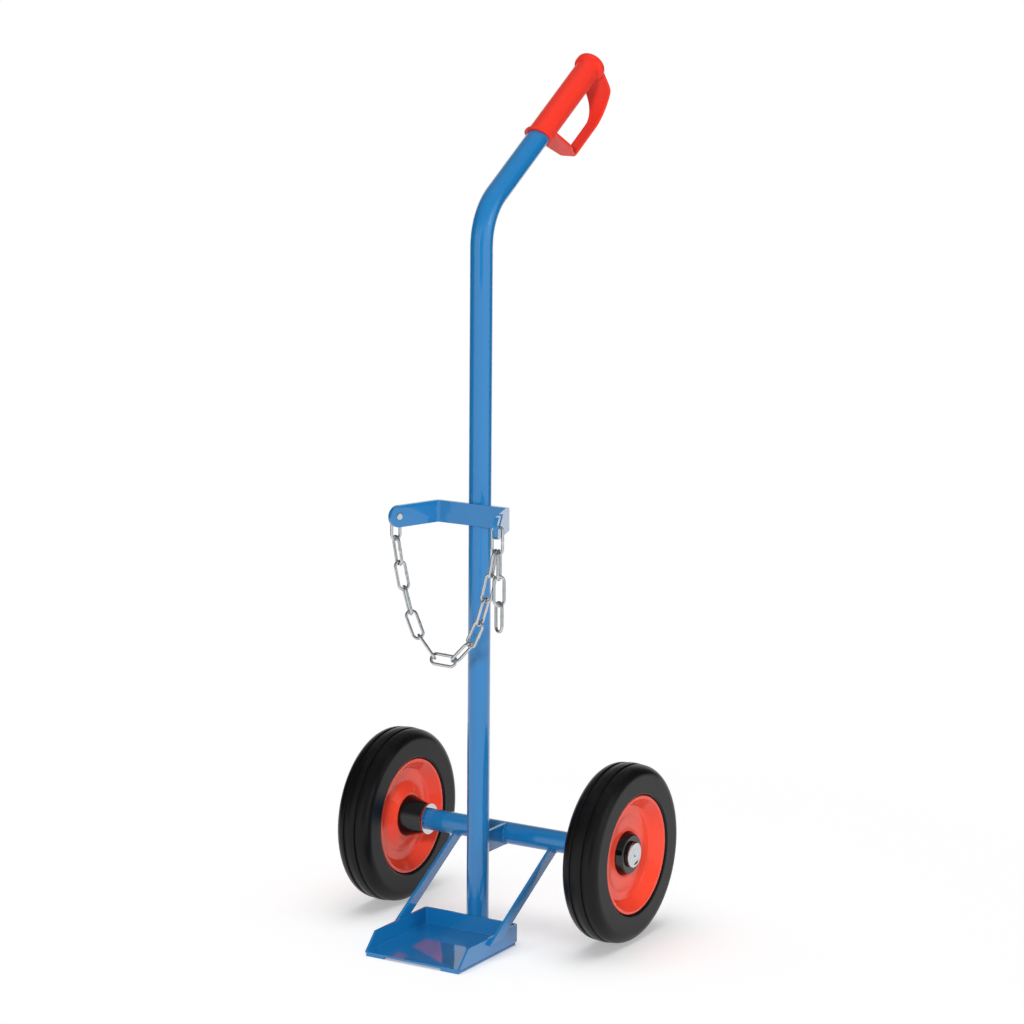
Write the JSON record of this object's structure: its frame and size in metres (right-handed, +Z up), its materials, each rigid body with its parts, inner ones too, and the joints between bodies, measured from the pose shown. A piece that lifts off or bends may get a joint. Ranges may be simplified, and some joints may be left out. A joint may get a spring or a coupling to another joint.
{
  "type": "gas cylinder trolley",
  "caption": "Gas cylinder trolley: bent tube column with guarded hand grip, toe tray, cradle bar with chain, and solid-tyred wheels on a rear axle.",
  "frame": {"origin": "on the ground, under the middle of the trolley's box", "axes": "+Z up along the column, -Y to the front where the tray is, X along the axle"},
  "size_m": [0.419, 0.4846, 1.2019],
  "materials": {
    "blue_paint": "gloss powder coat",
    "red_grip": "satin moulded plastic",
    "rim_paint": "gloss paint",
    "tyre": "matt rubber",
    "hub_black": "gloss",
    "zinc": "bright zinc plate",
    "plain_steel": "turned",
    "bush_nylon": "moulded"
  },
  "bodies": {
    "frame": {"axle_shaft": "plain_steel", "axle_tube": "blue_paint", "axle_web": "blue_paint", "chain_link_01": "zinc", "chain_link_13": "zinc", "chain_rivet": "zinc", "column_tube": "blue_paint", "cradle_bar": "blue_paint", "hand_grip": "red_grip", "hub_cap_left": "zinc", "hub_cap_right": "zinc", "rivet_washer": "zinc", "strut_left": "blue_paint", "strut_right": "blue_paint", "toe_tray": "blue_paint", "tray_skid_left": "blue_paint", "tray_skid_right": "blue_paint", "washer_inner_left": "zinc", "washer_inner_right": "zinc", "washer_outer_left": "zinc", "washer_outer_right": "zinc"},
    "wheel_left": {"tyre_left": "tyre", "rim_outer_left": "rim_paint", "rim_inner_left": "rim_paint", "hub_sleeve_left": "plain_steel", "hub_cover_inner_left": "hub_black", "hub_cover_outer_left": "hub_black", "bush_inner_left": "bush_nylon", "bush_outer_left": "bush_nylon"},
    "wheel_right": {"tyre_right": "tyre", "rim_outer_right": "rim_paint", "rim_inner_right": "rim_paint", "hub_sleeve_right": "plain_steel", "hub_cover_inner_right": "hub_black", "hub_cover_outer_right": "hub_black", "bush_inner_right": "bush_nylon", "bush_outer_right": "bush_nylon"},
    "chain_loop": {"chain_link_02": "zinc", "chain_link_03": "zinc", "chain_link_04": "zinc", "chain_link_05": "zinc", "chain_link_06": "zinc", "chain_link_07": "zinc", "chain_link_08": "zinc", "chain_link_09": "zinc", "chain_link_10": "zinc", "chain_link_11": "zinc", "chain_link_12": "zinc"},
    "chain_tail": {"chain_link_14": "zinc", "chain_link_15": "zinc", "chain_link_16": "zinc"}
  },
  "joints": [
    {"name": "wheel_left_spin", "type": "hinge", "parent": "frame", "child": "wheel_left", "pos_m": [-0.1825, 0.00524, 0.125], "axis": [1, 0, 0], "continuous": true},
    {"name": "wheel_right_spin", "type": "hinge", "parent": "frame", "child": "wheel_right", "pos_m": [0.1825, 0.00524, 0.125], "axis": [1, 0, 0], "continuous": true},
    {"name": "chain_loop_swing", "type": "hinge", "parent": "frame", "child": "chain_loop", "pos_m": [-0.0839, -0.15353, 0.56516], "axis": [0.999, -0.0252, -0.0375], "range_deg": [-12, 6]},
    {"name": "chain_tail_swing", "type": "hinge", "parent": "frame", "child": "chain_tail", "pos_m": [0.08048, -0.15547, 0.55916], "axis": [0.9455, 0.3256, 0], "range_deg": [-40, 2]}
  ]
}
